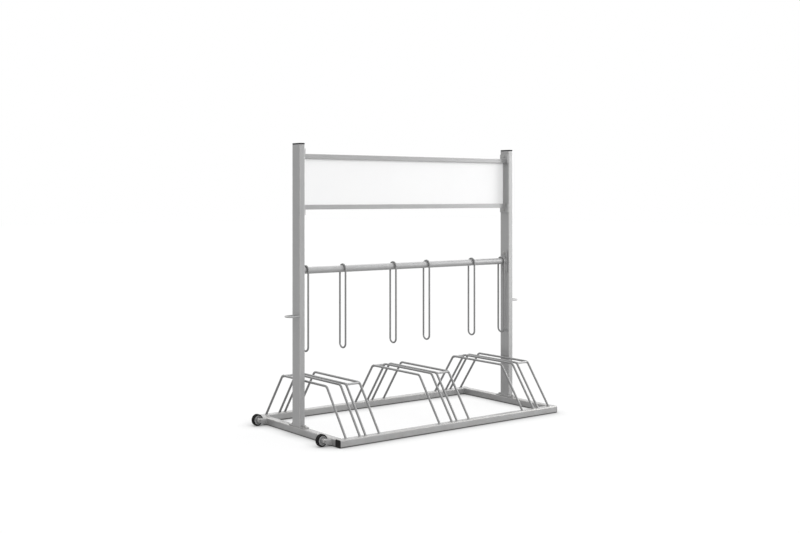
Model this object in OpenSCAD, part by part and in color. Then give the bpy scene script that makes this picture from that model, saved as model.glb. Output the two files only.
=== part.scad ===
// Bike rack with an advertising header: a floor frame of square tube carries twelve bent hoops that
// hold six bicycle wheels, two posts, a locking tube with hanging loops and a board on two header rails.
// X runs along the rack, Y from front to back and Z up. The origin lies on the ground, under the middle
// of the outer box.

/* [Floor frame] */
// Length of the floor frame over its end plugs
frame_length = 1280; // [1000:10:1800]
// Depth of the floor frame
frame_depth = 600; // [540:10:800]
// Side of the square tube of the floor frame
rail_size = 32; // [28:1:40]
// Wall of the square tube
rail_wall = 2; // [1.5:0.5:2.5]
// Outer corner radius of the square tube
rail_corner = 5; // [4:0.5:6]
// Thickness of the flange of an end plug
plug_flange = 3; // [2:0.5:5]
// Depth of an end plug inside its tube
plug_insert = 16; // [10:1:30]
// Wall of the part of a plug that sits in the tube
plug_wall = 2; // [1.5:0.5:3]

/* [Posts] */
// Height of the steel of a post above the ground
post_height = 1225; // [1180:5:1600]
// Width of a post along the rack
post_width = 27; // [24:1:32]
// Depth of a post from front to back
post_depth = 54; // [44:1:60]
// Wall of a post
post_wall = 2; // [1.5:0.5:2.5]
// Outer corner radius of a post
post_corner = 2.5; // [2.5:0.5:4]
// Height of the straight rim of a post cap
cap_rim = 4.5; // [2:0.5:6]
// Height of the dome of a post cap above its rim
cap_dome = 1.5; // [1:0.5:5]
// Depth of a post cap inside its post
cap_insert = 14; // [8:1:30]

/* [Post feet] */
// Length of a foot plate from front to back
foot_length = 108; // [102:2:160]
// Thickness of a foot plate
foot_thickness = 5; // [4:0.5:8]
// Corner radius of a foot plate
foot_corner = 5; // [2:0.5:10]
// Distance between the two bolts of a foot plate
foot_bolt_pitch = 80; // [76:1:84]
// Thread of the foot bolts
foot_bolt_d = 8; // [6:1:8]
// Thickness of a washer under a foot bolt
washer_thickness = 1.6; // [1:0.2:2.4]

/* [Header] */
// Height of the header over both of its rails
header_height = 237; // [200:1:300]
// Distance from the end of a post's steel down to the top of the header
header_drop = 38.5; // [35:0.5:80]
// Height of a header rail
header_rail_height = 20; // [18:1:30]
// Depth of a header rail from front to back
header_rail_depth = 10; // [10:0.5:16]
// Wall of a header rail
header_rail_wall = 2; // [1.5:0.5:2]
// Corner radius of a header rail
header_rail_corner = 1.5; // [1:0.5:2]
// Thickness of the brackets between the header rails and the posts
bracket_thickness = 5; // [4:0.5:10]
// How far a bracket reaches past the header above or below
bracket_overhang = 23; // [22:1:34]
// Depth of a bracket from front to back
bracket_depth = 50; // [40:1:50]
// Thread of the header bolts
header_bolt_d = 6; // [5:1:8]
// Thickness of the advertising panel
panel_thickness = 4; // [2:0.5:4]
// Gap between the panel and the brackets
panel_end_gap = 1; // [0.5:0.5:3]
// How far the panel's upper and lower edges stay inside the header
panel_inset = 4; // [2:0.5:4.5]
// Number of panel screws in each header rail
rail_screws = 4; // [3:1:6]
// Thread of the panel screws
panel_screw_d = 4; // [3:0.5:4]
// Distance from the outer panel screws to the panel's ends
panel_screw_edge = 60; // [30:5:120]

/* [Locking tube] */
// Height of the axis of the locking tube above the ground
tube_height = 691; // [640:1:760]
// Outer diameter of the locking tube
tube_d = 30; // [26:1:34]
// Wall of the locking tube
tube_wall = 2; // [1.5:0.5:4]
// Height of a tube flange
flange_height = 104; // [96:2:140]
// Depth of a tube flange from front to back
flange_depth = 38; // [36:1:44]
// Thickness of a tube flange
flange_thickness = 5; // [4:0.5:8]
// Distance between the two bolts of a tube flange
flange_bolt_pitch = 76; // [72:1:80]
// Thread of the flange bolts
flange_bolt_d = 8; // [6:1:8]

/* [Locking loops] */
// Diameter of the bar of a locking loop
loop_bar_d = 8; // [6:0.5:10]
// Gap between a loop and the tube that it hangs on
loop_gap = 0.5; // [0.4:0.1:2]
// Distance from the upper to the lower bend centre of a loop
loop_drop = 323.5; // [200:0.5:340]
// Distance from an outer loop to the inner face of its post
outer_loop_inset = 23; // [22:1:60]
// Distance from a middle loop to the nearest hoop of the outer group
middle_loop_offset = 35; // [20:1:60]
// Distance from an inner loop to the nearest hoop of the middle group
inner_loop_offset = 14; // [10:1:40]

/* [Wheel hoops] */
// Diameter of the bar of a hoop
hoop_bar_d = 10; // [6:0.5:12]
// Height of the top of a hoop above the ground
hoop_top = 228; // [180:2:300]
// Distance between the corners of a hoop's top, along the bar's axis
hoop_top_length = 314; // [240:2:360]
// Bend radius of a hoop along the bar's axis
hoop_bend = 20; // [14:1:30]
// Distance between the two hoops that hold a wheel
slot_pitch = 72; // [60:1:80]
// Distance between neighbouring slots of one group
slot_gap = 30; // [24:1:50]
// Distance from the outermost hoop to the end of the floor frame
hoop_edge = 42; // [42:1:60]

/* [Lock eyes] */
// Diameter of the bar of a lock eye
eye_bar_d = 8; // [6:0.5:10]
// Height of the lock eyes above the ground
eye_height = 500; // [400:5:620]
// Width of a lock eye between its bar axes
eye_width = 40; // [28:1:40]
// Straight length of a lock eye
eye_straight = 30; // [10:1:50]

/* [Transport wheels] */
// Diameter of a transport wheel
wheel_d = 50; // [46:1:50]
// Width of a tyre
tyre_width = 18; // [14:1:24]
// Thickness of a tyre
tyre_thickness = 6; // [5:0.5:7]
// Radius of a tyre's shoulders
tyre_shoulder = 3; // [2:0.5:4]
// Height of the axle above the ground
axle_height = 26; // [26:0.5:28]
// Distance from the end of the floor frame to the axle
axle_reach = 42; // [40:1:60]
// Distance from the front or back of the floor frame to the wheel next to it
wheel_inset = 68; // [60:1:120]
// Diameter of the axle bolt
axle_d = 8; // [6:1:8]
// Radial running clearance of a wheel on its axle
axle_clearance = 0.05; // [0.02:0.01:0.1]
// Gap between a wheel's hub and the arms of its fork
hub_side_gap = 0.3; // [0.2:0.1:1]
// How far the hub stands out of the tyre on each side
hub_stand = 1.2; // [0.8:0.2:3]
// Sheet thickness of a wheel fork
fork_sheet = 4; // [3:0.5:5]
// Height of a wheel fork at the floor frame
fork_height = 26; // [24:1:28]
// Radius of the rounded end of a fork arm
fork_nose = 9; // [8:0.5:11]

/* [Hidden] */

steel = "silver";
zinc = "gainsboro";
black = "#1c1c1c";
hub_grey = "#7d7f80";

// Clearances shared by all fasteners and saddles
thread_gap = 0.05;
hole_gap = 0.5;
weld_gap = 0.05;
cut = 1;

// Places along the rack, measured from the middle of the floor frame
half_length = frame_length / 2;
side_rail_x = half_length - rail_size / 2;
post_x = half_length - post_width / 2;
post_inner_x = half_length - post_width;
eye_reach = eye_straight + eye_width / 2 + eye_bar_d / 2;
wheel_reach = axle_reach + wheel_d / 2;
// The transport wheels reach further out on the left, so the frame sits a little right of the origin
mid_x = (max(wheel_reach, eye_reach) - eye_reach) / 2;

// Places from front to back
rail_y = frame_depth / 2 - rail_size / 2;
side_rail_length = frame_depth - 2 * rail_size;

// Heights
foot_top = rail_size + foot_thickness;

// Header
bracket_x = post_inner_x - bracket_thickness;
bracket_height = header_rail_height + bracket_overhang;
bracket_offset = (header_height + bracket_overhang - header_rail_height) / 2;
header_top = post_height - header_drop;
header_middle = header_top - header_height / 2;
header_bolt_pitch = header_height + bracket_overhang;
header_rail_offset = (header_height - header_rail_height) / 2;
panel_length = 2 * (bracket_x - panel_end_gap);
panel_height = header_height - 2 * panel_inset;
panel_back = header_rail_depth / 2 + panel_thickness;
screw_span = panel_length - 2 * panel_screw_edge;
screw_x = [for (i = [0:rail_screws - 1]) screw_span * (i / (rail_screws - 1) - 0.5)];
screw_length = panel_thickness + header_rail_wall + 3;

// Locking tube and loops
flange_x = post_inner_x - flange_thickness;
loop_bend = tube_d / 2 + loop_gap + loop_bar_d / 2;

// Wheel hoops: three groups of four, each group with two slots
group_half = slot_pitch + slot_gap / 2;
group_pitch = half_length - hoop_edge - group_half;
hoop_in_group = [-group_half, -slot_gap / 2, slot_gap / 2, group_half];
hoop_x = [for (group = [-1, 0, 1]) for (offset = hoop_in_group) group * group_pitch + offset];
hoop_axis = hoop_top - hoop_bar_d / 2;
hoop_corner = hoop_top_length / 2;
hoop_slope = atan2(hoop_axis - rail_size, rail_y - hoop_corner);
hoop_tangent = hoop_bend * tan(hoop_slope / 2);
// Half of the level top, to a thousandth, so that the bends meet it exactly
hoop_straight = round(1000 * (hoop_corner - hoop_tangent)) / 1000;
// A leg is a hair thinner than its bend and starts just inside it, which keeps the edge there clean
leg_step = 0.02;
leg_lap = 0.2;

// Loops from left to right
outer_loop_x = post_inner_x - outer_loop_inset;
middle_loop_x = group_pitch - group_half - middle_loop_offset;
inner_loop_x = group_half + inner_loop_offset;
loop_x = [-outer_loop_x, -middle_loop_x, -inner_loop_x, inner_loop_x, middle_loop_x, outer_loop_x];

// Transport wheels
axle_x = -half_length - axle_reach;
wheel_y = frame_depth / 2 - wheel_inset;
rim_radius = wheel_d / 2 - tyre_thickness;
hub_width = tyre_width + 2 * hub_stand;
fork_gap = hub_width + 2 * hub_side_gap;
fork_half = fork_gap / 2 + fork_sheet;
rim_depth = 2.5;
hub_radius = axle_d / 2 + 4.5;
web_thickness = 5;

function hex_flats(d) = round(1.65 * d);
function head_height(d) = 0.65 * d;
function nut_height(d) = 0.8 * d;
function hole_radius(d) = d / 2 + hole_gap;
// Point where a line from p touches a circle; turn is 1 or -1 for the two sides
function touch_point(p, centre, radius, turn) =
    let (to_p = p - centre,
         direction = atan2(to_p[1], to_p[0]) + turn * acos(radius / norm(to_p)))
    centre + radius * [cos(direction), sin(direction)];

// Outline of a rectangle with round corners
module round_rectangle(width, depth, radius) {
    square([width - 2 * radius, depth], center = true);
    square([width, depth - 2 * radius], center = true);
    for (sx = [-1, 1], sy = [-1, 1])
        translate([sx * (width / 2 - radius), sy * (depth / 2 - radius)])
            circle(r = radius, $fn = 32);
}

// Cross-section of a rectangular tube
module tube_section(width, depth, wall, corner) {
    difference() {
        round_rectangle(width, depth, corner);
        round_rectangle(width - 2 * wall, depth - 2 * wall, max(corner - wall, 0.5));
    }
}

// Moves the rack's own middle to its place beside the origin
module on_rack() {
    translate([mid_x, 0, 0])
        children();
}

// Turns a shape drawn in X and Y so that it stands in the rack's cross-section, Y and Z
module in_cross_section() {
    rotate([90, 0, 90])
        children();
}

// Straight round bar along X from the origin
module bar(d, length) {
    rotate([0, 90, 0])
        cylinder(d = d, h = length, $fn = 32);
}

// Round bar bent along an arc in the XY plane
module bent_bar(d, bend, sweep) {
    rotate_extrude(angle = sweep, $fn = 64)
        translate([bend, 0])
            circle(d = d, $fn = 32);
}

// Hexagon prism on the XY plane
module hexagon(d, height) {
    cylinder(r = hex_flats(d) / 2 / cos(30), h = height, $fn = 6);
}

// Hexagon bolt whose head stands on the XY plane, with its shank below
module bolt(d, length) {
    hexagon(d, head_height(d));
    translate([0, 0, -length])
        cylinder(d = d, h = length + cut, $fn = 32);
}

// Screw whose low head stands on the XY plane, with a six-sided socket
module pan_screw(d, length) {
    difference() {
        cylinder(r1 = d, r2 = 0.8 * d, h = 0.6 * d, $fn = 24);
        translate([0, 0, 0.25 * d])
            cylinder(r = 0.35 * d, h = d, $fn = 6);
    }
    translate([0, 0, -length])
        cylinder(d = d, h = length + 0.2 * d, $fn = 24);
}

// Hexagon nut that hangs below the XY plane
module nut(d) {
    translate([0, 0, -nut_height(d)])
        difference() {
            hexagon(d, nut_height(d));
            translate([0, 0, -cut])
                cylinder(r = d / 2 + thread_gap, h = nut_height(d) + 2 * cut, $fn = 32);
        }
}

// Long rail of the floor frame; side is -1 in front and 1 behind
module long_rail(side) {
    color(steel)
        on_rack()
            translate([0, side * rail_y, rail_size / 2])
                rotate([0, 90, 0])
                    linear_extrude(height = frame_length - 2 * plug_flange, center = true)
                        tube_section(rail_size, rail_size, rail_wall, rail_corner);
}

// Places what holds a foot plate down: children stand at the two bolt axes of a side
module at_foot_bolts(side, height) {
    on_rack()
        for (along = [-1, 1])
            translate([side * side_rail_x, along * foot_bolt_pitch / 2, height])
                children();
}

// Short rail between the long rails, drilled for the foot bolts
module side_rail(side) {
    color(steel)
        difference() {
            on_rack()
                translate([side * side_rail_x, 0, rail_size / 2])
                    rotate([90, 0, 0])
                        linear_extrude(height = side_rail_length, center = true)
                            tube_section(rail_size, rail_size, rail_wall, rail_corner);
            at_foot_bolts(side, rail_size - rail_wall - cut)
                cylinder(r = hole_radius(foot_bolt_d), h = rail_wall + 2 * cut, $fn = 32);
        }
}

// Plastic plugs that close the four open ends of the long rails
module rail_end_plugs() {
    insert_size = rail_size - 2 * rail_wall - 2 * thread_gap;
    insert_corner = max(rail_corner - rail_wall, 0.5);
    color(black)
        on_rack()
            for (end = [-1, 1], side = [-1, 1])
                translate([end * half_length, side * rail_y, rail_size / 2])
                    rotate([0, -90 * end, 0]) {
                        linear_extrude(height = plug_flange)
                            round_rectangle(rail_size, rail_size, rail_corner);
                        translate([0, 0, plug_flange])
                            linear_extrude(height = plug_insert)
                                difference() {
                                    round_rectangle(insert_size, insert_size, insert_corner);
                                    square(insert_size - 2 * plug_wall, center = true);
                                }
                    }
}

// Plate under a post, bolted down on the side rail
module foot_plate(side) {
    color(steel)
        difference() {
            on_rack()
                translate([side * side_rail_x, 0, rail_size])
                    linear_extrude(height = foot_thickness)
                        round_rectangle(rail_size, foot_length, foot_corner);
            at_foot_bolts(side, rail_size - cut)
                cylinder(r = hole_radius(foot_bolt_d), h = foot_thickness + 2 * cut, $fn = 32);
        }
}

module foot_bolts() {
    bolt_length = washer_thickness + foot_thickness + rail_wall + nut_height(foot_bolt_d) + 2;
    color(zinc)
        for (side = [-1, 1])
            at_foot_bolts(side, foot_top + washer_thickness)
                bolt(foot_bolt_d, bolt_length);
}

module foot_washers() {
    color(zinc)
        for (side = [-1, 1])
            at_foot_bolts(side, foot_top)
                difference() {
                    cylinder(d = 2 * foot_bolt_d, h = washer_thickness, $fn = 48);
                    translate([0, 0, -cut])
                        cylinder(r = foot_bolt_d / 2 + thread_gap, h = washer_thickness + 2 * cut, $fn = 32);
                }
}

// Nuts welded under the top wall of the side rails
module foot_weld_nuts() {
    color(zinc)
        for (side = [-1, 1])
            at_foot_bolts(side, rail_size - rail_wall)
                nut(foot_bolt_d);
}

// Places what passes through the inner wall of a post: Z of the children points to the rack's middle
module at_post_bolts(side, middle, pitch, x) {
    on_rack()
        for (up = [-1, 1])
            translate([side * x, 0, middle + up * pitch / 2])
                rotate([0, -90 * side, 0])
                    children();
}

// Post of rectangular tube, drilled in its inner wall for the header and the tube flange
module post(side) {
    color(steel)
        difference() {
            on_rack()
                translate([side * post_x, 0, foot_top])
                    linear_extrude(height = post_height - foot_top)
                        tube_section(post_width, post_depth, post_wall, post_corner);
            at_post_bolts(side, header_middle, header_bolt_pitch, post_inner_x + post_wall + cut)
                cylinder(r = hole_radius(header_bolt_d), h = post_wall + 2 * cut, $fn = 32);
            at_post_bolts(side, tube_height, flange_bolt_pitch, post_inner_x + post_wall + cut)
                cylinder(r = hole_radius(flange_bolt_d), h = post_wall + 2 * cut, $fn = 32);
        }
}

// Domed plastic cap on a post
module post_cap(side) {
    insert_width = post_width - 2 * post_wall - 2 * thread_gap;
    insert_depth = post_depth - 2 * post_wall - 2 * thread_gap;
    insert_corner = max(post_corner - post_wall, 0.5);
    insert_hollow = [insert_width - 2 * plug_wall, insert_depth - 2 * plug_wall];
    dome_width = post_width - 4 * cap_dome;
    dome_depth = post_depth - 4 * cap_dome;
    shoulder = cap_dome / 2;
    color(black)
        on_rack()
            translate([side * post_x, 0, post_height]) {
                hull() {
                    linear_extrude(height = cap_rim)
                        round_rectangle(post_width, post_depth, post_corner);
                    linear_extrude(height = cap_rim + cap_dome * 0.7)
                        round_rectangle(post_width - 2 * shoulder, post_depth - 2 * shoulder, post_corner);
                    linear_extrude(height = cap_rim + cap_dome)
                        square([dome_width, dome_depth], center = true);
                }
                translate([0, 0, -cap_insert])
                    linear_extrude(height = cap_insert)
                        difference() {
                            round_rectangle(insert_width, insert_depth, insert_corner);
                            square(insert_hollow, center = true);
                        }
            }
}

// Places its children on both rails' panel screws, on the back of the panel with Z pointing backwards
module at_panel_screws() {
    for (x = screw_x, up = [-1, 1])
        translate([mid_x + x, panel_back, header_middle + up * header_rail_offset])
            rotate([-90, 0, 0])
                children();
}

// Rail along the header; up is -1 for the lower one and 1 for the upper one
module header_rail(up) {
    color(steel)
        difference() {
            on_rack()
                translate([-bracket_x, 0, header_middle + up * header_rail_offset])
                    in_cross_section()
                        linear_extrude(height = 2 * bracket_x)
                            tube_section(header_rail_depth, header_rail_height,
                                         header_rail_wall, header_rail_corner);
            at_panel_screws()
                translate([0, 0, -panel_thickness - header_rail_wall - cut])
                    cylinder(r = panel_screw_d / 2 + thread_gap, h = header_rail_wall + 2 * cut, $fn = 24);
        }
}

// Upper and lower bracket, welded to the header rails and bolted to the inner face of a post
module header_brackets(side) {
    x = side * (bracket_x + bracket_thickness / 2);
    color(steel)
        difference() {
            for (up = [-1, 1])
                on_rack()
                    translate([x, 0, header_middle + up * bracket_offset])
                        cube([bracket_thickness, bracket_depth, bracket_height], center = true);
            at_post_bolts(side, header_middle, header_bolt_pitch, post_inner_x + cut)
                cylinder(r = hole_radius(header_bolt_d), h = bracket_thickness + 2 * cut, $fn = 32);
        }
}

module header_bolts() {
    bolt_length = bracket_thickness + post_wall + nut_height(header_bolt_d) + 1;
    color(zinc)
        for (side = [-1, 1])
            at_post_bolts(side, header_middle, header_bolt_pitch, bracket_x)
                bolt(header_bolt_d, bolt_length);
}

// Nuts welded behind the inner wall of the posts for the header
module header_weld_nuts() {
    color(zinc)
        for (side = [-1, 1])
            at_post_bolts(side, header_middle, header_bolt_pitch, post_inner_x + post_wall)
                nut(header_bolt_d);
}

// Board that is screwed to the back of both header rails
module advertising_panel() {
    color("white")
        difference() {
            on_rack()
                translate([0, panel_back - panel_thickness / 2, header_middle])
                    cube([panel_length, panel_thickness, panel_height], center = true);
            at_panel_screws()
                translate([0, 0, -panel_thickness - cut])
                    cylinder(r = hole_radius(panel_screw_d), h = panel_thickness + 2 * cut, $fn = 24);
        }
}

module panel_screws() {
    color(zinc)
        at_panel_screws()
            pan_screw(panel_screw_d, screw_length);
}

module locking_tube() {
    color(steel)
        on_rack()
            translate([-flange_x, 0, tube_height])
                difference() {
                    bar(tube_d, 2 * flange_x);
                    translate([-cut, 0, 0])
                        bar(tube_d - 2 * tube_wall, 2 * flange_x + 2 * cut);
                }
}

// Plate at each end of the locking tube, bolted to the post
module tube_flange(side) {
    color(steel)
        difference() {
            on_rack()
                translate([side * (flange_x + flange_thickness / 2), 0, tube_height])
                    cube([flange_thickness, flange_depth, flange_height], center = true);
            at_post_bolts(side, tube_height, flange_bolt_pitch, post_inner_x + cut)
                cylinder(r = hole_radius(flange_bolt_d), h = flange_thickness + 2 * cut, $fn = 32);
        }
}

module flange_bolts() {
    bolt_length = flange_thickness + post_wall + nut_height(flange_bolt_d) + 1;
    color(zinc)
        for (side = [-1, 1])
            at_post_bolts(side, tube_height, flange_bolt_pitch, flange_x)
                bolt(flange_bolt_d, bolt_length);
}

// Nuts welded behind the inner wall of the posts for the tube flanges
module flange_weld_nuts() {
    color(zinc)
        for (side = [-1, 1])
            at_post_bolts(side, tube_height, flange_bolt_pitch, post_inner_x + post_wall)
                nut(flange_bolt_d);
}

// Closed link of round bar that hangs round the locking tube
module locking_loop(number) {
    color(steel)
        on_rack()
            translate([loop_x[number - 1], 0, tube_height])
                in_cross_section() {
                    bent_bar(loop_bar_d, loop_bend, 180);
                    translate([0, -loop_drop])
                        rotate([0, 0, 180])
                            bent_bar(loop_bar_d, loop_bend, 180);
                    for (side = [-1, 1])
                        translate([side * loop_bend, 0])
                            rotate([90, 0, 0])
                                cylinder(d = loop_bar_d, h = loop_drop, $fn = 32);
                }
}

// One side of a hoop from the end of its level top, drawn in Y and Z: the bend, and a sloping leg
// that is longer than it needs to be
module hoop_side() {
    translate([hoop_straight, hoop_axis - hoop_bend]) {
        mirror([1, -1, 0])
            bent_bar(hoop_bar_d, hoop_bend, hoop_slope);
        rotate([0, 0, -hoop_slope])
            translate([-leg_lap, hoop_bend])
                bar(hoop_bar_d - leg_step, rail_y / cos(hoop_slope));
    }
}

// Hoop of round bar: a level top and two sloping legs whose ends are cut flat on the long rails
module wheel_hoop(number) {
    color(steel)
        on_rack()
            translate([hoop_x[number - 1], 0, 0])
                in_cross_section()
                    difference() {
                        union() {
                            translate([-hoop_straight, hoop_axis])
                                bar(hoop_bar_d, 2 * hoop_straight);
                            for (turned = [0, 1])
                                mirror([turned, 0, 0])
                                    hoop_side();
                        }
                        translate([0, rail_size - hoop_axis])
                            cube([4 * rail_y, 2 * hoop_axis, 2 * hoop_bar_d], center = true);
                    }
}

// Short bars that close one end of each slot at the hoops' bends, with saddles that fit the bends
module hoop_cross_bars() {
    middle = hoop_slope / 2;
    color(steel)
        on_rack()
            for (group = [-1, 0, 1], side = [-1, 1])
                translate([group * group_pitch - side * (group_half - slot_pitch / 2), 0, 0])
                    difference() {
                        translate([-slot_pitch / 2,
                                   side * (hoop_straight + hoop_bend * sin(middle)),
                                   hoop_axis - hoop_bend + hoop_bend * cos(middle)])
                            bar(hoop_bar_d, slot_pitch);
                        for (end = [-1, 1])
                            translate([end * slot_pitch / 2, side * hoop_straight, hoop_axis - hoop_bend])
                                in_cross_section()
                                    bent_bar(hoop_bar_d + 2 * weld_gap, hoop_bend, 360);
                    }
}

// Flat-lying bar eye on the outer face of a post, for a lock or a chain
module lock_eye(side) {
    color(steel)
        on_rack()
            translate([side * half_length, 0, eye_height])
                rotate([0, 0, 90 - 90 * side]) {
                    for (along = [-1, 1])
                        translate([0, along * eye_width / 2, 0])
                            bar(eye_bar_d, eye_straight);
                    translate([eye_straight, 0, 0])
                        rotate([0, 0, -90])
                            bent_bar(eye_bar_d, eye_width / 2, 180);
                }
}

// Places a wheel's own parts: Z of the children runs along the axle, to the back
module at_axle(side) {
    on_rack()
        translate([axle_x, side * wheel_y, axle_height])
            rotate([-90, 0, 0])
                children();
}

// Outline of a fork arm in X and Z: it narrows from the floor frame to a round nose at the axle
module fork_arm_outline() {
    centre = [axle_x, axle_height];
    root = -half_length - fork_sheet;
    top = [root, rail_size / 2 + fork_height / 2];
    low = [root, rail_size / 2 - fork_height / 2];
    polygon([top, touch_point(top, centre, fork_nose, 1), centre,
             touch_point(low, centre, fork_nose, -1), low]);
    translate(centre)
        circle(r = fork_nose, $fn = 48);
}

// U-shaped sheet fork that is welded to the end of the floor frame
module wheel_fork(side) {
    color(steel)
        difference() {
            on_rack()
                translate([0, side * wheel_y, 0]) {
                    translate([-half_length - fork_sheet, -fork_half, rail_size / 2 - fork_height / 2])
                        cube([fork_sheet, 2 * fork_half, fork_height]);
                    for (arm = [-1, 1])
                        translate([0, arm * (fork_half - fork_sheet / 2) + fork_sheet / 2, 0])
                            rotate([90, 0, 0])
                                linear_extrude(height = fork_sheet)
                                    fork_arm_outline();
                }
            at_axle(side)
                translate([0, 0, -fork_half - cut])
                    cylinder(r = axle_d / 2 + axle_clearance, h = 2 * fork_half + 2 * cut, $fn = 32);
        }
}

// Bolts on which the wheels turn, with their heads in front
module wheel_axle_bolts() {
    bolt_length = 2 * fork_half + nut_height(axle_d) + 2;
    color(zinc)
        for (side = [-1, 1])
            at_axle(side)
                translate([0, 0, -fork_half])
                    mirror([0, 0, 1])
                        bolt(axle_d, bolt_length);
}

module wheel_axle_nuts() {
    color(zinc)
        for (side = [-1, 1])
            at_axle(side)
                translate([0, 0, fork_half + nut_height(axle_d)])
                    nut(axle_d);
}

// Plastic wheel body: a boss on the axle, a thin web and a rim
module wheel_hub(side) {
    color(hub_grey)
        at_axle(side)
            rotate_extrude($fn = 96) {
                translate([axle_d / 2 + axle_clearance, -hub_width / 2])
                    square([hub_radius - axle_d / 2 - axle_clearance, hub_width]);
                translate([hub_radius - cut, -web_thickness / 2])
                    square([rim_radius - rim_depth - hub_radius + 2 * cut, web_thickness]);
                translate([rim_radius - rim_depth, -tyre_width / 2])
                    square([rim_depth, tyre_width]);
            }
}

// Rubber tyre with rounded shoulders
module wheel_tyre(side) {
    shoulder_y = tyre_width / 2 - tyre_shoulder;
    color(black)
        at_axle(side)
            rotate_extrude($fn = 96) {
                translate([rim_radius, -tyre_width / 2])
                    square([tyre_thickness - tyre_shoulder, tyre_width]);
                translate([rim_radius, -shoulder_y])
                    square([tyre_thickness, 2 * shoulder_y]);
                for (end = [-1, 1])
                    translate([wheel_d / 2 - tyre_shoulder, end * shoulder_y])
                        circle(r = tyre_shoulder, $fn = 32);
            }
}

long_rail(-1);  // front_rail
long_rail(1);  // rear_rail
side_rail(-1);  // left_side_rail
side_rail(1);  // right_side_rail
rail_end_plugs();
foot_plate(-1);  // left_foot_plate
foot_plate(1);  // right_foot_plate
foot_bolts();
foot_washers();
foot_weld_nuts();
post(-1);  // left_post
post(1);  // right_post
post_cap(-1);  // left_post_cap
post_cap(1);  // right_post_cap
header_rail(1);  // header_top_rail
header_rail(-1);  // header_bottom_rail
header_brackets(-1);  // header_left_brackets
header_brackets(1);  // header_right_brackets
header_bolts();
header_weld_nuts();
advertising_panel();
panel_screws();
locking_tube();
tube_flange(-1);  // left_tube_flange
tube_flange(1);  // right_tube_flange
flange_bolts();
flange_weld_nuts();
for (number = [1 : 6])
    locking_loop(number);
for (number = [1 : 12])
    wheel_hoop(number);
hoop_cross_bars();
lock_eye(-1);  // left_lock_eye
lock_eye(1);  // right_lock_eye
wheel_fork(-1);  // front_wheel_fork
wheel_fork(1);  // rear_wheel_fork
wheel_axle_bolts();
wheel_axle_nuts();
wheel_hub(-1);  // front_wheel_hub
wheel_hub(1);  // rear_wheel_hub
wheel_tyre(-1);  // front_wheel_tyre
wheel_tyre(1);  // rear_wheel_tyre
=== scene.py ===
import math
import random
from bisect import bisect_right

import bpy
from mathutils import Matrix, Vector


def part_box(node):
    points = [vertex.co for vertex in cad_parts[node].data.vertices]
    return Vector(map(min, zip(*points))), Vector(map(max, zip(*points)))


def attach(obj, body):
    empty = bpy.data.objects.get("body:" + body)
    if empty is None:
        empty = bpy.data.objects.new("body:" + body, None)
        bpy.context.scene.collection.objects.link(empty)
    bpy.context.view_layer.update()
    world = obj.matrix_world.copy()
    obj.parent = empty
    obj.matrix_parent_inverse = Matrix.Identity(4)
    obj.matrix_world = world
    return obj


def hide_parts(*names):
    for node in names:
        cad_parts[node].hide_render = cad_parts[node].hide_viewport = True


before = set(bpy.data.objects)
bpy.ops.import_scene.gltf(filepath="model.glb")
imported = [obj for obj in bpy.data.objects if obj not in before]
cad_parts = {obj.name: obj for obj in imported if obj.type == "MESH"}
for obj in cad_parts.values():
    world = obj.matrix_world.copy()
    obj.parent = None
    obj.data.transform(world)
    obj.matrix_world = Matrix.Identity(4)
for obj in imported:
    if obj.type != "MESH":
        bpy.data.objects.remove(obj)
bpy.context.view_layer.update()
mm = 0.001
print("stage: frame loaded,", len(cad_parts), "nodes")

scene = bpy.context.scene
scene.view_settings.view_transform = "Standard"
xAxis, zAxis = Vector((1, 0, 0)), Vector((0, 0, 1))


def lengths(**given):
    # lengths given in millimetres; a value may be a tuple of them
    def metres(value):
        return tuple(map(metres, value)) if isinstance(value, tuple) else value * mm
    return {name: metres(value) for name, value in given.items()}


# outlines are lists of (u, v) pairs, and shapes are lofts through rings of points

def turnsOf(count, first=0.0):
    # even turns round a circle, in radians
    return [2 * math.pi * (k + first) / count for k in range(count)]


def circleOutline(radius, sides, first=0.0):
    return [(radius * math.cos(a), radius * math.sin(a)) for a in turnsOf(sides, first)]


def arcPoints(cu, cv, radius, start, end, steps):
    turns = [math.radians(start + (end - start) * k / steps) for k in range(steps + 1)]
    return [(cu + radius * math.cos(a), cv + radius * math.sin(a)) for a in turns]


def bendRub(most, steps):
    # a bend rubs off most at its middle
    return [most * math.sin(math.pi * k / steps) for k in range(steps + 1)]


def roundOutline(width, depth, corner, steps=5, flat=2 * mm):
    # rectangle with round corners; the points beside a corner keep the sides flat
    points = []
    for su, sv, turn in ((1, 1, 0), (-1, 1, 90), (-1, -1, 180), (1, -1, 270)):
        cu, cv = su * (width / 2 - corner), sv * (depth / 2 - corner)
        arc = arcPoints(cu, cv, corner, turn, turn + 90, steps)
        sine, cosine = math.sin(math.radians(turn)), math.cos(math.radians(turn))
        before = (arc[0][0] + flat * sine, arc[0][1] - flat * cosine)
        after = (arc[-1][0] - flat * cosine, arc[-1][1] - flat * sine)
        points += [before] + arc + [after]
    return points


def cornerRub(steps=5):
    # how much each point of a roundOutline rubs off
    return ([0.0] + [0.5 + r for r in bendRub(0.5, steps)] + [0.0]) * 4


def alongX(u, v, w):
    return Vector((w, u, v))


def alongY(u, v, w):
    return Vector((u, w, v))


def alongZ(u, v, w):
    return Vector((u, v, w))


def moved(place, x, y, z):
    return lambda u, v, w: place(u, v, w) + Vector((x, y, z))


def ring(outline, place, w, grow=0.0):
    # the outline at w along the axis, made larger all round by grow
    wide = max(abs(u) for u, v in outline)
    deep = max(abs(v) for u, v in outline)
    return [place(u * (wide + grow) / wide, v * (deep + grow) / deep, w) for u, v in outline]


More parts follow.
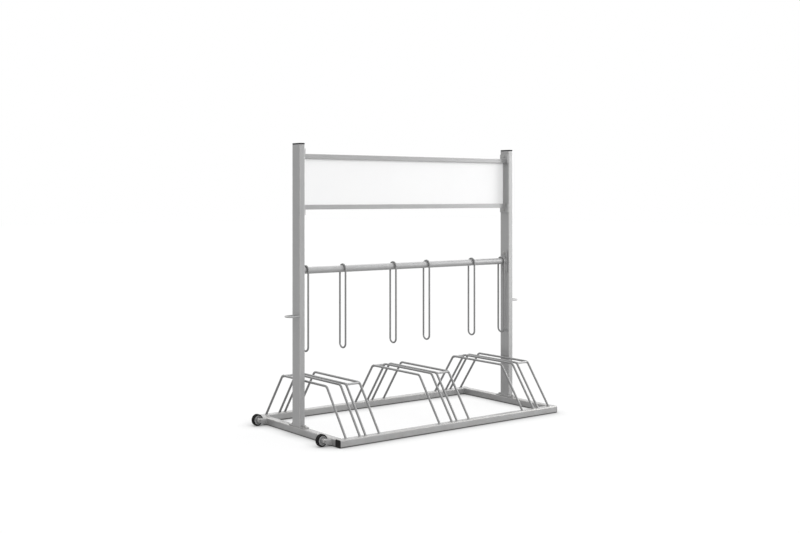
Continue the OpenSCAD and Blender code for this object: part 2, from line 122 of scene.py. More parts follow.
def loft(rings, closed=False, ringRub=None, pointRub=None):
    # skin from ring to ring; unless the last one meets the first, both ends are capped
    count = len(rings[0])
    verts = [p for r in rings for p in r]
    rub = [max(along, across) for along in ringRub or [0.0] * len(rings)
           for across in pointRub or [0.0] * count]
    faces = []
    for i in range(len(rings) if closed else len(rings) - 1):
        a, b = i * count, (i + 1) % len(rings) * count
        for j in range(count):
            k = (j + 1) % count
            faces.append((a + j, a + k, b + k, b + j))
    if not closed:
        faces.append(tuple(reversed(range(count))))
        faces.append(tuple(range(len(verts) - count, len(verts))))
    return verts, faces, rub


def stack(outline, place, steps, rub):
    # each step says where along the axis, and how much larger all round
    return loft([ring(outline, place, w, grow) for w, grow in steps], ringRub=rub)


def slab(width, depth, corner, place, start, end, edge=0.7 * mm):
    # plate with broken edges; the rings beside them keep its faces flat
    broken = ((0.0, -1.8), (0.0, -1.0), (0.3, -0.3), (1.0, 0.0), (1.4, 0.0))
    rub = [0.1, 0.5, 1.0, 0.3, 0.1]
    steps = [(start + w * edge, grow * edge) for w, grow in broken]
    steps += [(end - w * edge, grow * edge) for w, grow in reversed(broken)]
    return stack(roundOutline(width, depth, corner), place, steps, rub + rub[::-1])


def sleeve(width, depth, wall, corner, place, start, end, edge=0.4 * mm, rub=None):
    # hollow tube with broken edges at its open ends
    outer = roundOutline(width, depth, corner)
    inner = [(u * (1 - 2 * wall / width), v * (1 - 2 * wall / depth)) for u, v in outer]
    rings = [ring(outer, place, start, -edge), ring(outer, place, start + edge),
             ring(outer, place, end - edge), ring(outer, place, end, -edge),
             ring(inner, place, end), ring(inner, place, start)]
    return loft(rings, closed=True, pointRub=rub)


def sweep(path, side, radii, closed=False, sides=24, rub=None):
    # round bar along a flat path; side is square to the path's plane
    rings = []
    last = len(path) - 1
    for i, (point, radius) in enumerate(zip(path, radii)):
        if closed:
            ahead = path[(i + 1) % len(path)] - path[i - 1]
        else:
            ahead = path[min(i + 1, last)] - path[max(i - 1, 0)]
        across = ahead.normalized().cross(side).normalized()
        rings.append([point + side * u + across * v for u, v in circleOutline(radius, sides)])
    return loft(rings, closed=closed, ringRub=rub)


def lathe(profile, place, sides, closed=True, rub=None):
    # profile is (radius, distance along the axis) pairs
    rings = [ring(circleOutline(radius, sides), place, w) for radius, w in profile]
    return loft(rings, closed=closed, ringRub=rub)


def addObject(name, data):
    new = bpy.data.objects.new(name, data)
    scene.collection.objects.link(new)
    return new


def makePiece(name, shapes, material, nodes=(), body="rack", sharp=38):
    # one object from closed shapes; its rub values tell the materials where edges wear
    verts, faces, rub = [], [], []
    for v, f, r in shapes:
        base = len(verts)
        verts += v
        faces += [tuple(base + i for i in face) for face in f]
        rub += r
    mesh = bpy.data.meshes.new(name)
    mesh.from_pydata(verts, [], faces)
    mesh.update()
    rubbed = mesh.attributes.new("rub", "FLOAT", "POINT")
    rubbed.data.foreach_set("value", rub)
    mesh.shade_smooth()
    mesh.set_sharp_from_angle(angle=math.radians(sharp))
    piece = addObject(name, mesh)
    piece.data.materials.append(material)
    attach(piece, body)
    if nodes:
        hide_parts(*nodes)


def makePart(node, shapes, material, **more):
    # the piece for one node, so front_rail becomes frontRail
    first, *rest = node.split("_")
    makePiece(first + "".join(word.capitalize() for word in rest), shapes, material, [node], **more)


def both(name):
    return "left_" + name, "right_" + name


def boxOf(node):
    low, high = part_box(node)
    return low, high, (low + high) / 2, high - low


def sidesOf(node):
    # a left or right node's outer and inner face, and the way from one to the other
    low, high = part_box(node)
    return (low.x, high.x, 1) if low.x < 0 else (high.x, low.x, -1)


def crossOf(node, along):
    # seen along an axis: a place on the box's middle line, its width, depth and ends
    low, high, mid, size = boxOf(node)
    run = {alongX: 0, alongY: 1, alongZ: 2}[along]
    wide, deep = [size[k] for k in range(3) if k != run]
    mid[run] = 0.0
    return moved(along, *mid), wide, deep, low[run], high[run]


def buildTube(node, along, sizes, coat):
    place, wide, deep, start, end = crossOf(node, along)
    tube = sleeve(wide, deep, sizes["wall"], sizes["corner"], place, start, end, rub=cornerRub())
    makePart(node, [tube], coat)


def buildPlate(node, along, corner, coat):
    place, wide, deep, start, end = crossOf(node, along)
    makePart(node, [slab(wide, deep, corner, place, start, end)], coat)


# shader nodes: a number or colour is set on its input, and an output is linked to it

def setInputs(tree, node, inputs):
    for label, value in inputs.items():
        if hasattr(value, "links"):
            tree.links.new(value, node.inputs[label])
        else:
            node.inputs[label].default_value = value


def addNode(tree, kind, inputs, **settings):
    node = tree.nodes.new(kind)
    for label, value in settings.items():
        setattr(node, label, value)
    setInputs(tree, node, inputs)
    return node.outputs


def makeGroup(name, inputs, outputs):
    # takes a vector and the named numbers, and gives out the named values
    group = bpy.data.node_groups.new(name, "ShaderNodeTree")
    new = group.interface.new_socket
    new(name="Vector", in_out="INPUT", socket_type="NodeSocketVector")
    for label, value in inputs.items():
        new(name=label, in_out="INPUT", socket_type="NodeSocketFloat").default_value = value
    for label in outputs:
        new(name=label, in_out="OUTPUT", socket_type="NodeSocketFloat")
    given = group.nodes.new("NodeGroupInput").outputs
    return group, given["Vector"], given, group.nodes.new("NodeGroupOutput")


def noiseNode(tree, vector, scale, detail, rough=0.55):
    return addNode(tree, "ShaderNodeTexNoise", {
        "Vector": vector, "Scale": scale, "Detail": detail, "Roughness": rough})["Fac"]


def mathNode(tree, operation, *values, clamp=False):
    return addNode(tree, "ShaderNodeMath", dict(enumerate(values)), operation=operation, use_clamp=clamp)[0]


def product(tree, a, b, clamp=False):
    return mathNode(tree, "MULTIPLY", a, b, clamp=clamp)


def rampNode(tree, value, low, high):
    # 0 below low, 1 above high, smooth between
    return addNode(tree, "ShaderNodeMapRange", {"Value": value, "From Min": low, "From Max": high},
                   interpolation_type="SMOOTHSTEP")["Result"]


def mixValues(tree, share, a, b):
    return addNode(tree, "ShaderNodeMapRange", {"Value": share, "To Min": a, "To Max": b})["Result"]


def mixColours(tree, share, a, b):
    # a and b are colours or outputs, and share is how much of b shows
    a, b = [(*value, 1) if isinstance(value, tuple) else value for value in (a, b)]
    return addNode(tree, "ShaderNodeMix", {0: share, 6: a, 7: b}, data_type="RGBA")[2]


def layered(tree, tone, *layers):
    # each layer is a share and the colour that it shows
    for share, over in layers:
        tone = mixColours(tree, share, tone, over)
    return tone


def bumpNode(tree, height, strength, distance):
    return addNode(tree, "ShaderNodeBump", {
        "Height": height, "Strength": strength, "Distance": distance})["Normal"]


def upPart(tree, vector):
    return addNode(tree, "ShaderNodeSeparateXYZ", {"Vector": vector})["Z"]


# fine orange peel of a sprayed coat, slow patches of tone, and specks
coatGrain, where, given, out = makeGroup("coat grain", {"Peel Scale": 420.0, "Patch Scale": 7.0},
                                         ("Height", "Patches", "Specks"))
speck = noiseNode(coatGrain, where, scale=1300.0, detail=1.0)
setInputs(coatGrain, out, {
    "Height": noiseNode(coatGrain, where, given["Peel Scale"], detail=2.0),
    "Patches": noiseNode(coatGrain, where, given["Patch Scale"], detail=4.0),
    "Specks": rampNode(coatGrain, speck, low=0.62, high=0.74)})

# where a rubbed edge shows, broken up by noise
edgeWear, where, given, out = makeGroup("edge wear", {"Rub": 0.0, "Amount": 0.5}, ("Mask",))
broad = noiseNode(edgeWear, where, scale=26.0, detail=5.0, rough=0.65)
fine = noiseNode(edgeWear, where, scale=340.0, detail=3.0, rough=0.6)
broken = mathNode(edgeWear, "MULTIPLY_ADD", product(edgeWear, broad, fine), 2.2, 0.05, clamp=True)
worn = product(edgeWear, product(edgeWear, given["Rub"], given["Amount"]), broken)
setInputs(edgeWear, out, {"Mask": rampNode(edgeWear, worn, low=0.18, high=0.42)})

# dust thrown up from the ground: most near it, and more on what faces up; the group also gives a painted
# shade along the foot
dustAndFootShade, where, given, out = makeGroup("ground dust and foot shade", {"Height": 0.12, "Amount": 0.5}, ("Mask", "Edge"))
height = upPart(dustAndFootShade, where)
low = mathNode(dustAndFootShade, "SUBTRACT", 1.0, mathNode(dustAndFootShade, "DIVIDE", height, given["Height"]), clamp=True)
normal = addNode(dustAndFootShade, "ShaderNodeNewGeometry", {})["Normal"]
upward = mathNode(dustAndFootShade, "MULTIPLY_ADD", upPart(dustAndFootShade, normal), 0.35, 0.65)
cloud = noiseNode(dustAndFootShade, where, scale=17.0, detail=6.0, rough=0.62)
dust = product(dustAndFootShade, product(dustAndFootShade, low, upward), rampNode(dustAndFootShade, cloud, low=0.34, high=0.72))
# painted shade along the edge that lies on the ground: the bottom few millimetres are darkened as if in
# shadow
foot = mathNode(dustAndFootShade, "SUBTRACT", 1.0, rampNode(dustAndFootShade, height, low=2.5 * mm, high=6.5 * mm))
footShadeWeight = product(dustAndFootShade, given["Amount"], 1.7, clamp=True)
dust = product(dustAndFootShade, dust, given["Amount"], clamp=True)
setInputs(dustAndFootShade, out, {"Mask": dust, "Edge": product(dustAndFootShade, foot, footShadeWeight)})

# leathery pebble of moulded plastic and rubber
mouldGrain, where, given, out = makeGroup("mould grain", {"Scale": 1500.0}, ("Height", "Tone"))
pebble = addNode(mouldGrain, "ShaderNodeTexVoronoi", {"Vector": where, "Scale": given["Scale"]},
                 feature="SMOOTH_F1")["Distance"]
setInputs(mouldGrain, out, {"Height": pebble, "Tone": noiseNode(mouldGrain, where, scale=60.0, detail=4.0)})


def startMaterial(name):
    material = bpy.data.materials.new(name)
    material.use_nodes = True
    tree = material.node_tree
    where = addNode(tree, "ShaderNodeTexCoord", {})["Object"]
    return material, tree, tree.nodes["Principled BSDF"], where


def addGroup(tree, group, where, inputs):
    return addNode(tree, "ShaderNodeGroup", {"Vector": where, **inputs}, node_tree=group)


def wornMask(tree, where, amount):
    rub = addNode(tree, "ShaderNodeAttribute", {}, attribute_name="rub")["Fac"]
    return addGroup(tree, edgeWear, where, {"Rub": rub, "Amount": amount})["Mask"]


def dusted(tree, rough, mask, duller=0.3):
    # dust makes the surface duller
    return mathNode(tree, "MULTIPLY_ADD", mask, duller, rough, clamp=True)


# the near-black foot colour is painted shade along the bottom edge, not dirt
silver = {"light": (0.372, 0.372, 0.373), "dark": (0.332, 0.332, 0.333), "speck": (0.465, 0.465, 0.465),
          "worn": (0.45, 0.445, 0.435), "dust": (0.25, 0.24, 0.225), "grime": (0.05, 0.048, 0.045),
          "speckShare": 0.35, "roughness": (0.30, 0.38), "polish": 0.16, "metal": 0.35, "sheen": 0.3,
          "bump": 0.25, "peel": 0.12 * mm}


def silverCoatMaterial(name, dusty, wear, depth=1.0):
    # dusty sets both the dust and the painted shade along the foot; depth below 1 makes the coat darker, a
    # painted shade, and above 1 lighter, a painted light
    material, tree, shader, where = startMaterial(name)
    grain = addGroup(tree, coatGrain, where, {})
    worn = wornMask(tree, where, wear)
    dust = addGroup(tree, dustAndFootShade, where, {"Amount": dusty})
    dark, light, speck, rubbed = [tuple(c * depth for c in silver[shade])
                                  for shade in ("dark", "light", "speck", "worn")]
    specks = product(tree, grain["Specks"], silver["speckShare"])
    # the last layer darkens the foot with painted shade
    tone = layered(tree, dark, (grain["Patches"], light), (specks, speck), (worn, rubbed),
                   (dust["Mask"], silver["dust"]), (dust["Edge"], silver["grime"]))
    rough = mixValues(tree, grain["Patches"], *silver["roughness"])
    rough = mathNode(tree, "MULTIPLY_ADD", worn, -silver["polish"], rough)
    setInputs(tree, shader, {
        "Base Color": tone, "Metallic": silver["metal"], "Specular IOR Level": silver["sheen"],
        "Roughness": dusted(tree, rough, dust["Mask"]),
        "Normal": bumpNode(tree, grain["Height"], silver["bump"], silver["peel"])})
    return material


zinc = {"dark": (0.24, 0.24, 0.237), "light": (0.36, 0.36, 0.353), "worn": (0.46, 0.455, 0.445), "wear": 0.9,
        "grain": {"Peel Scale": 900.0, "Patch Scale": 120.0}, "roughness": (0.5, 0.34), "metal": 0.85,
        "bump": 0.3, "peel": 0.05 * mm}


def zincMaterial():
    material, tree, shader, where = startMaterial("zincPlate")
    grain = addGroup(tree, coatGrain, where, zinc["grain"])
    tone = layered(tree, zinc["dark"], (grain["Patches"], zinc["light"]),
                   (wornMask(tree, where, zinc["wear"]), zinc["worn"]))
    setInputs(tree, shader, {
        "Base Color": tone, "Metallic": zinc["metal"],
        "Roughness": mixValues(tree, grain["Patches"], *zinc["roughness"]),
        "Normal": bumpNode(tree, grain["Height"], zinc["bump"], zinc["peel"])})
    return material


plugFinish = {"dark": (0.008, 0.008, 0.009), "light": (0.016, 0.016, 0.017), "scale": 1500.0, "wear": 0.35,
              "dusty": 0.1, "roughness": 0.62, "sheen": 0.1, "relief": 0.06 * mm}
hubFinish = {"dark": (0.27, 0.272, 0.275), "light": (0.34, 0.342, 0.345), "scale": 1800.0, "wear": 0.35,
             "dusty": 0.25, "roughness": 0.45, "sheen": 0.5, "relief": 0.06 * mm}
tyreFinish = {"dark": (0.006, 0.006, 0.006), "light": (0.013, 0.013, 0.013), "scale": 700.0, "wear": 0.5,
              "dusty": 0.05, "roughness": 0.72, "sheen": 0.05, "relief": 0.12 * mm}
moulding = {"dust": (0.22, 0.205, 0.185), "wornLift": 1.8, "uneven": 0.05, "bump": 0.35}


def mouldedMaterial(name, finish):
    material, tree, shader, where = startMaterial(name)
    grain = addGroup(tree, mouldGrain, where, {"Scale": finish["scale"]})
    dust = addGroup(tree, dustAndFootShade, where, {"Amount": finish["dusty"]})["Mask"]
    rubbed = tuple(c * moulding["wornLift"] for c in finish["light"])
    tone = layered(tree, finish["dark"], (grain["Tone"], finish["light"]),
                   (wornMask(tree, where, finish["wear"]), rubbed), (dust, moulding["dust"]))
    smooth, rough = [finish["roughness"] + side * moulding["uneven"] for side in (-1, 1)]
    rough = dusted(tree, mixValues(tree, grain["Tone"], smooth, rough), dust)
    setInputs(tree, shader, {
        "Base Color": tone, "Roughness": rough, "Specular IOR Level": finish["sheen"],
        "Normal": bumpNode(tree, grain["Height"], moulding["bump"], finish["relief"])})
    return material


film = {"dark": (0.855, 0.855, 0.857), "light": (0.885, 0.885, 0.885), "marks": (0.78, 0.785, 0.79),
        "worn": (0.72, 0.72, 0.71), "markShare": 0.05, "wear": 0.6, "stretch": (1.5, 60.0, 90.0),
        "tilt": (0.0, 0.09, 0.0), "roughness": (0.42, 0.52), "sheen": 0.25, "bump": 0.08, "wave": 0.6 * mm}


def boardMaterial():
    # satin film with barely seen waves, faint grey clouds and fine hair marks
    material, tree, shader, where = startMaterial("whiteBoard")
    cloud = noiseNode(tree, where, scale=3.2, detail=3.0)
    drawn = addNode(tree, "ShaderNodeMapping", {
        "Vector": where, "Scale": film["stretch"], "Rotation": film["tilt"]})["Vector"]
    hair = rampNode(tree, noiseNode(tree, drawn, scale=5.0, detail=2.0), low=0.60, high=0.80)
    wave = noiseNode(tree, where, scale=9.0, detail=1.0)
    tone = layered(tree, film["dark"], (cloud, film["light"]),
                   (product(tree, hair, film["markShare"]), film["marks"]),
                   (wornMask(tree, where, film["wear"]), film["worn"]))
    setInputs(tree, shader, {
        "Base Color": tone, "Roughness": mixValues(tree, cloud, *film["roughness"]),
        "Specular IOR Level": film["sheen"], "Normal": bumpNode(tree, wave, film["bump"], film["wave"])})
    return material


# dusty also sets how strong the painted shade along the foot is
frameCoat = silverCoatMaterial("silverCoatLow", dusty=0.55, wear=0.6)
upperCoat = silverCoatMaterial("silverCoatHigh", dusty=0.0, wear=0.6)
# the bars get a darker copy of the same coat: painted shade, because round bars catch less light
shadedBarCoat = silverCoatMaterial("silverCoatBarsShaded", dusty=0.2, wear=0.5, depth=0.61)
# the forks get a lighter copy of the same coat: painted light
litForkCoat = silverCoatMaterial("silverCoatForksLit", dusty=0.3, wear=0.3, depth=1.1)
zincPlate = zincMaterial()
plugPlastic = mouldedMaterial("blackPlugs", plugFinish)
hubPlastic = mouldedMaterial("greyHubs", hubFinish)
tyreRubber = mouldedMaterial("blackTyres", tyreFinish)
boardFilm = boardMaterial()
print("stage: finishes ready")


weld = {"ripple": 0.12, "pitch": 1.7 * mm, "perRipple": 3, "fewest": 8, "uneven": 0.05, "body": 0.93,
        "endShare": 0.35, "endRise": 0.3, "sides": 8}


def bead(path, side, radius, seed, closed=False):
    # the path is walked in even steps, and each step swells and sinks a little
    draw = random.Random(seed)
    if closed:
        path = path + [path[0]]
    marks = [0.0]
    for a, b in zip(path, path[1:]):
        marks.append(marks[-1] + (b - a).length)
    steps = max(weld["fewest"], int(marks[-1] / (weld["pitch"] / weld["perRipple"])))
    walked = []
    for k in range(steps if closed else steps + 1):
        s = marks[-1] * k / steps
        i = min(bisect_right(marks, s + 1e-12) - 1, len(path) - 2)
        t = (s - marks[i]) / max(marks[i + 1] - marks[i], 1e-9)
        walked.append(path[i].lerp(path[i + 1], t))
    radii = []
    for k in range(len(walked)):
        wave = weld["ripple"] * abs(math.sin(math.pi * k / weld["perRipple"]))
        toEnd = min(k, len(walked) - 1 - k)
        fade = 1.0 if closed else min(1.0, weld["endShare"] + weld["endRise"] * toEnd)
        radii.append(radius * fade * (weld["body"] + wave + draw.uniform(-1, 1) * weld["uneven"]))
    return sweep(walked, side, radii, closed=closed, sides=weld["sides"])


floorFrame = lengths(corner=5, wall=2, seam=1.7, seamEnd=3, seamFoot=4, seamDrop=0.9,
                     seamOut=(0.4, 0.5))


def buildFloorFrame():
    for node in ("front_rail", "rear_rail"):
        buildTube(node, alongX, floorFrame, frameCoat)
    for node in both("side_rail"):
        buildTube(node, alongY, floorFrame, frameCoat)
    # at each end of a side rail a bead lies across its top, and one down its inner corner
    seams = []
    end, (outX, outY) = floorFrame["seamEnd"], floorFrame["seamOut"]
    for i, node in enumerate(both("side_rail")):
        low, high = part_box(node)
        _, inner, turn = sidesOf(node)
        for j, (y, out) in enumerate(((low.y, outY), (high.y, -outY))):
            across = [Vector((x, y, high.z - floorFrame["seamDrop"])) for x in (low.x + end, high.x - end)]
            seams.append(bead(across, zAxis, floorFrame["seam"], seed=10 + 2 * i + j))
            down = [Vector((inner + turn * outX, y + out, z))
                    for z in (high.z - end, low.z + floorFrame["seamFoot"])]
            seams.append(bead(down, xAxis, floorFrame["seam"], seed=20 + 2 * i + j))
    makePiece("floorFrameSeams", seams, frameCoat)


# steps from the rail's end to the dished middle: depth below the outer face, and growth
plugs = lengths(corner=5, insert=16, steps=((3, -0.25), (2.7, 0), (1.1, 0), (0.35, -0.5), (0, -1.5),
                                            (0, -2.56), (0.45, -3.2), (0.45, -9.6))) | {
    "rub": (0, 0.3, 0.6, 1, 0.6, 0.2, 0, 0)}
insert = lengths(gap=2.05, wall=2, corner=1)


def insertShape(width, depth, place, start, end):
    # hollow part of a plug or cap, inside a tube of this width and depth
    gap = 2 * insert["gap"]
    return sleeve(width - gap, depth - gap, insert["wall"], insert["corner"], place, start, end)


def buildPlugs():
    low, high, mid, _ = boxOf("rail_end_plugs")
    rail = boxOf("front_rail")[3]
    face = plugs["steps"][0][0]
    outline = roundOutline(rail.y, rail.z, plugs["corner"])
    shapes = []
    for x, turn in ((low.x, 1), (high.x, -1)):
        for y in (low.y + rail.y / 2, high.y - rail.y / 2):
            place = moved(alongX, 0, y, mid.z)
            steps = [(x + turn * w, grow) for w, grow in plugs["steps"]]
            shapes.append(stack(outline, place, steps, plugs["rub"]))
            start, end = sorted((x + turn * face, x + turn * (face + plugs["insert"])))
            shapes.append(insertShape(rail.y, rail.z, place, start, end))
    makePiece("railPlugs", shapes, plugPlastic, ["rail_end_plugs"])


buildFloorFrame()
buildPlugs()
print("stage: floor frame")


# the foot bead is given as half of its way: along the front face to the inner side
posts = lengths(wall=2, corner=2.5, plateCorner=5, bead=2.0, beadLift=0.7,
                beadInner=((-2.4, -0.8), (-0.6, 0.4), (0.8, 2.4)), beadOuter=(2, -0.8))


def buildPosts():
    for node in both("post"):
        buildTube(node, alongZ, posts, upperCoat)
    for node in both("foot_plate"):
        buildPlate(node, alongZ, posts["plateCorner"], frameCoat)
    # the outer side has no bead, because it is flush with the plate
    beads = []
    for i, node in enumerate(both("post")):
        low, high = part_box(node)
        outer, inner, turn = sidesOf(node)
        z = low.z + posts["beadLift"]
        half = [(outer + turn * posts["beadOuter"][0], posts["beadOuter"][1])]
        half += [(inner + turn * x, y) for x, y in posts["beadInner"]]
        path = [Vector((x, low.y + y, z)) for x, y in half]
        path += [Vector((x, high.y - y, z)) for x, y in reversed(half)]
        beads.append(bead(path, zAxis, posts["bead"], seed=30 + i))
    makePiece("postFootWelds", beads, frameCoat)


postCap = lengths(corner=2.5, pull=4, insert=14, rim=((0, -0.3), (0.35, 0), (5.1, 0), (5.5, -0.25))) | {
    "domeSteps": 8, "rub": (0.2, 0.8, 0.4, 1, 0.5, 0.3, 0.1, 0, 0, 0, 0)}


def buildPostCaps():
    rim, edge = postCap["rim"][-1]
    for side in ("left", "right"):
        node = side + "_post_cap"
        _, high, mid, size = boxOf(node)
        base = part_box(side + "_post")[1].z
        place = moved(alongZ, mid.x, mid.y, base)
        # upright rim, then a flat dome
        steps = list(postCap["rim"])
        over = high.z - base - rim
        for k in range(1, postCap["domeSteps"]):
            a = math.radians(90 * k / postCap["domeSteps"])
            steps.append((rim + over * math.sin(a), edge - postCap["pull"] * (1 - math.cos(a))))
        shapes = [stack(roundOutline(size.x, size.y, postCap["corner"]), place, steps, postCap["rub"]),
                  insertShape(size.x, size.y, place, -postCap["insert"], 0.0)]
        makePart(node, shapes, plugPlastic)


buildPosts()
buildPostCaps()
print("stage: posts")


hexagon = {"samples": 48, "chamfer": 0.94, "fall": 0.58, "flat": 0.55,
           "footIn": 0.25 * mm, "footUp": 0.3 * mm}


def hexRing(flats, place, w, grow=0.0, chamferFrom=math.inf):
    # six-sided outline, whose corners fall away where they reach past chamferFrom
    points = []
    for a in turnsOf(hexagon["samples"], 0.5):
        reach = (flats / 2 + grow) / math.cos((a + math.pi / 6) % (math.pi / 3) - math.pi / 6)
        drop = max(0.0, reach - chamferFrom) * hexagon["fall"]
        points.append(place(reach * math.cos(a), reach * math.sin(a), w - drop))
    return points


def roundRing(radius, place, w):
    # circle with as many points as a hexRing
    return ring(circleOutline(radius, hexagon["samples"], 0.5), place, w)


def hexHead(flats, height, place, up=1.0):
    # head or nut standing on w = 0; its far end is chamfered like a turned bar
    def lifted(u, v, w):
        return place(u, v, up * w)
    top = flats / 2 * hexagon["chamfer"]
    rings = [hexRing(flats, lifted, 0.0, -hexagon["footIn"]), hexRing(flats, lifted, hexagon["footUp"]),
             hexRing(flats, lifted, height, chamferFrom=top), roundRing(top, lifted, height),
             roundRing(top * hexagon["flat"], lifted, height)]
    return loft(rings, ringRub=[0.2, 0.4, 1.0, 0.5, 0.0])


# shares of the radius, and for each groove also the share of its pitch
thread = {"middle": 0.3, "neck": 0.93, "groove": ((1.0, 0.25), (1.0, 0.4), (0.88, 0.8)), "tip": 0.8,
          "pitch": 1.25 * mm, "finePitch": 1 * mm, "sides": 28}


def threadEnd(radius, length, place, up, pitch):
    # shank with turned grooves and a narrower tip
    profile = [(radius * thread["middle"], 0.0), (radius * thread["neck"], 0.0)]
    count = max(1, int(length / pitch))
    for k in range(count):
        profile += [(radius * r, length * (k + share) / count) for r, share in thread["groove"]]
    profile += [(radius * thread["tip"], length), (radius * thread["middle"], length)]
    return lathe([(r, up * w) for r, w in profile], place, sides=thread["sides"], closed=False)


def boltShapes(sizes, seat, length, up, pitch):
    # head on the seat, and the shank behind it
    return [hexHead(sizes["flats"], sizes["head"], seat, up),
            threadEnd(sizes["radius"], length, seat, -up, pitch)]


footBolt = lengths(flats=13, head=5.2, radius=4, apart=40)
washer = lengths(outer=8, inner=4.05, edge=0.25) | {"sides": 40}
headerBolt = lengths(flats=10, head=3.9, radius=3, inset=11.5)
flangeBolt = lengths(flats=13, head=5.2, radius=4, inset=14)


def washerShape(place, start, end):
    edge, inner, outer = washer["edge"], washer["inner"], washer["outer"]
    profile = [(inner, start), (outer - edge, start), (outer, start + edge), (outer, end - edge),
               (outer - edge, end), (inner, end)]
    return lathe(profile, place, sides=washer["sides"])


def buildFootBolts():
    bolts, washers = [], []
    tip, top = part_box("foot_bolts")[0].z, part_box("foot_washers")[1].z
    for node in both("foot_plate"):
        _, high, mid, _ = boxOf(node)
        for y in (-footBolt["apart"], footBolt["apart"]):
            washers.append(washerShape(moved(alongZ, mid.x, y, 0), high.z, top))
            seat = moved(alongZ, mid.x, y, top)
            bolts += boltShapes(footBolt, seat, top - tip, 1.0, thread["pitch"])
    makePart("foot_bolts", bolts, zincPlate)
    makePart("foot_washers", washers, zincPlate)


def buildPostBolts(node, sizes, plates):
    # two bolts through each plate into the post behind it
    shapes = []
    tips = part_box(node)
    for plate in plates:
        low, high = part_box(plate)
        _, face, turn = sidesOf(plate)
        tip = tips[0].x if turn > 0 else tips[1].x
        for z in (low.z + sizes["inset"], high.z - sizes["inset"]):
            seat = moved(alongX, face, 0, z)
            shapes += boltShapes(sizes, seat, abs(face - tip), turn, thread["finePitch"])
    makePart(node, shapes, zincPlate)


def buildWeldNuts():
    # the nuts inside the tubes keep their shape and only get their finish
    for node in ("foot_weld_nuts", "header_weld_nuts", "flange_weld_nuts"):
        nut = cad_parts[node]
        nut.data.materials.clear()
        nut.data.materials.append(zincPlate)


buildFootBolts()
buildPostBolts("header_bolts", headerBolt, ("header_left_brackets", "header_right_brackets"))
buildPostBolts("flange_bolts", flangeBolt, both("tube_flange"))
buildWeldNuts()
print("stage: fasteners")


header = lengths(wall=2, corner=1.5, bracketCorner=3, bead=1.2, beadOut=0.4)


def buildHeader():
    rails = [boxOf("header_top_rail"), boxOf("header_bottom_rail")]
    for node in ("header_top_rail", "header_bottom_rail"):
        buildTube(node, alongX, header, upperCoat)
    for node in ("header_left_brackets", "header_right_brackets"):
        low, high, mid, size = boxOf(node)
        plates = []
        for foot, top in ((low.z, rails[1][1].z), (rails[0][0].z, high.z)):
            place = moved(alongX, 0, mid.y, (top + foot) / 2)
            plates.append(slab(size.y, top - foot, header["bracketCorner"], place, low.x, high.x))
        makePart(node, plates, upperCoat)
    # a bead goes round each end of a rail, but not behind it, where the board is
    seams = []
    g, c = header["beadOut"], header["corner"]
    for i, (low, high, _, _) in enumerate(rails):
        for j, (x, turn) in enumerate(((low.x, 1), (high.x, -1))):
            half = ((high.y - g, g), (low.y + c, g), (low.y - g, -c))
            path = [Vector((x + turn * g, y, high.z + up)) for y, up in half]
            path += [Vector((x + turn * g, y, low.z - up)) for y, up in reversed(half)]
            seams.append(bead(path, xAxis, header["bead"], seed=50 + 2 * i + j))
    makePiece("headerSeams", seams, upperCoat)


board = lengths(edge=0.5, corner=2)


def buildBoard():
    place, wide, deep, start, end = crossOf("advertising_panel", alongY)
    sheet = slab(wide, deep, board["corner"], place, start, end, board["edge"])
    makePiece("headerBoard", [sheet], boardFilm, ["advertising_panel"])


# the head's profile is (radius, height) pairs, and its rub goes on through the socket
screws = lengths(reach=60, rise=2.4, head=((3.8, 0.0), (4, 0.3), (3.9, 1.2), (3.6, 1.9), (3.1, 2.4)),
                 socket=2.5, socketEdge=0.15, socketStep=0.25, depth=1.5, shank=2, length=9, pitch=0.9) | {
    "perRail": 4, "rub": (0, 0.2, 0.5, 0.8, 1, 1, 0.5, 0)}


def buildScrews():
    _, high, mid, size = boxOf("advertising_panel")
    span = size.x - 2 * screws["reach"]
    socket, rise = screws["socket"], screws["rise"]
    shapes = []
    for rail in ("header_top_rail", "header_bottom_rail"):
        z = boxOf(rail)[2].z
        for k in range(screws["perRail"]):
            spot = moved(alongY, mid.x + span * (k / (screws["perRail"] - 1) - 0.5), high.y, z)
            rings = [roundRing(radius, spot, w) for radius, w in screws["head"]]
            rings += [hexRing(socket, spot, rise, screws["socketEdge"]),
                      hexRing(socket, spot, rise - screws["socketStep"]),
                      hexRing(socket, spot, rise - screws["depth"])]
            shapes.append(loft(rings, ringRub=screws["rub"]))
            shapes.append(threadEnd(screws["shank"], screws["length"], spot, -1.0, screws["pitch"]))
    makePiece("boardScrews", shapes, zincPlate, ["panel_screws"])


buildHeader()
buildBoard()
buildScrews()
print("stage: header")


lockTube = lengths(wall=2, bead=2.1, beadOut=0.6, flangeCorner=4, rubWidth=11) | {
    "sides": 40, "beadPoints": 60, "rubCore": 0.45, "rub": 0.8}


